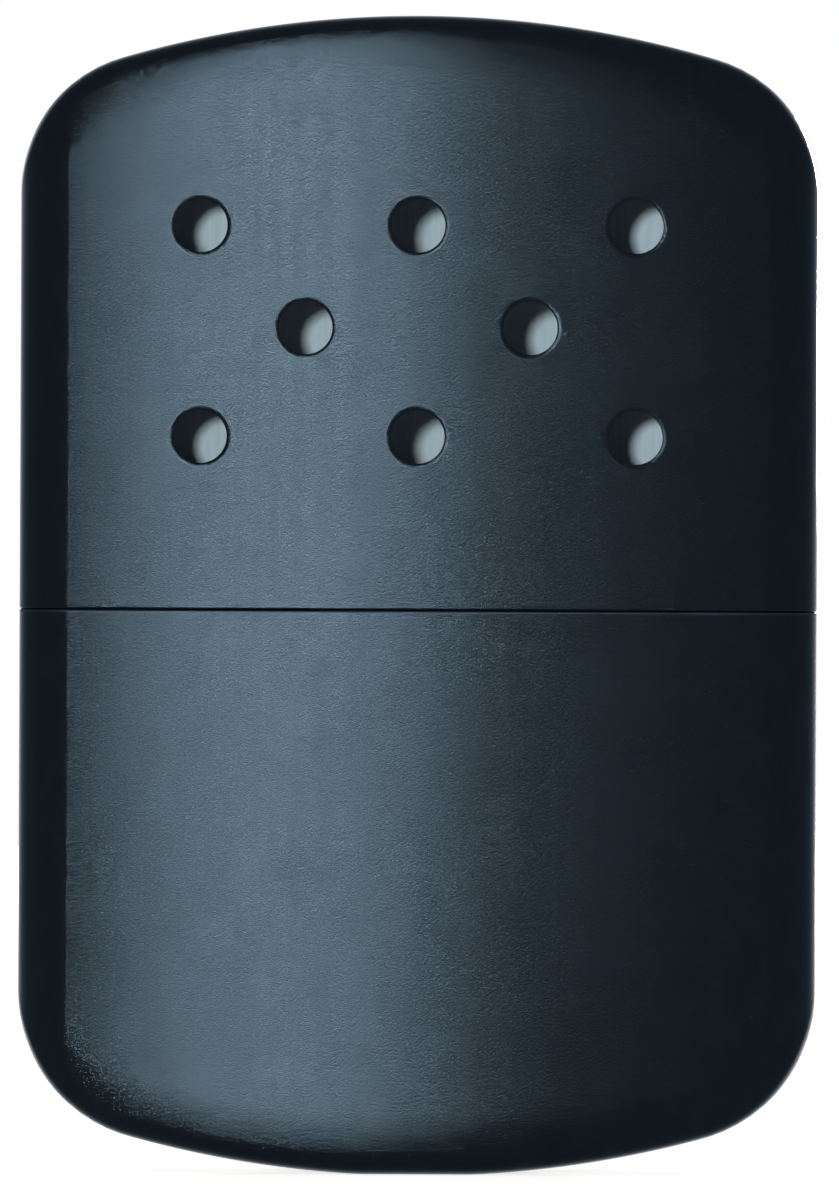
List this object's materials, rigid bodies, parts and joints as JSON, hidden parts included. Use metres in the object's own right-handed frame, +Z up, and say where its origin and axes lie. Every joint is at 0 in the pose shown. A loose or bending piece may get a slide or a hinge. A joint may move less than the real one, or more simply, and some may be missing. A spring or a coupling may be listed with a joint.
{
  "type": "catalytic hand warmer",
  "caption": "Flat oval metal hand warmer: a vented lid slips over a catalyst burner that plugs onto a cotton-packed fuel tank.",
  "frame": {"origin": "middle of the flat foot under the closed case, the bottom centre of its bounding box", "axes": "+Z up from the tank to the lid, -Y out of the vented front face, +X to the right as seen from the front"},
  "size_m": [0.0684, 0.015, 0.099],
  "materials": {
    "case_coat": "fine satin powder coat, dark blue-grey",
    "plated_steel": "bright plated pressing",
    "burner_steel": "satin, heat-toned",
    "rivet_steel": "plain",
    "gauze": "dull, heat-darkened wire",
    "catalyst": "grey glass-fibre mat",
    "cotton": "loose cotton wadding"
  },
  "bodies": {
    "tank": {"tank_shell": "case_coat", "tank_collar": "plated_steel", "tank_deck": "plated_steel", "filler_neck": "plated_steel", "cotton_bottom": "cotton", "cotton_middle": "cotton", "cotton_top": "cotton", "cotton_tuft": "cotton"},
    "lid": {"lid_shell": "case_coat"},
    "burner": {"burner_skirt": "burner_steel", "burner_hood": "burner_steel", "burner_cap": "burner_steel", "burner_rivets": "rivet_steel", "vapour_plate": "burner_steel", "catalyst_mat": "catalyst", "mat_carrier": "burner_steel", "gauze_front": "gauze", "gauze_back": "gauze"}
  },
  "joints": [
    {"name": "lid_lift", "type": "slide", "parent": "tank", "child": "lid", "axis": [0, 0, 1], "range_m": [0, 0.034]},
    {"name": "burner_pull", "type": "slide", "parent": "tank", "child": "burner", "axis": [0, 0, 1], "range_m": [0, 0.008]}
  ]
}
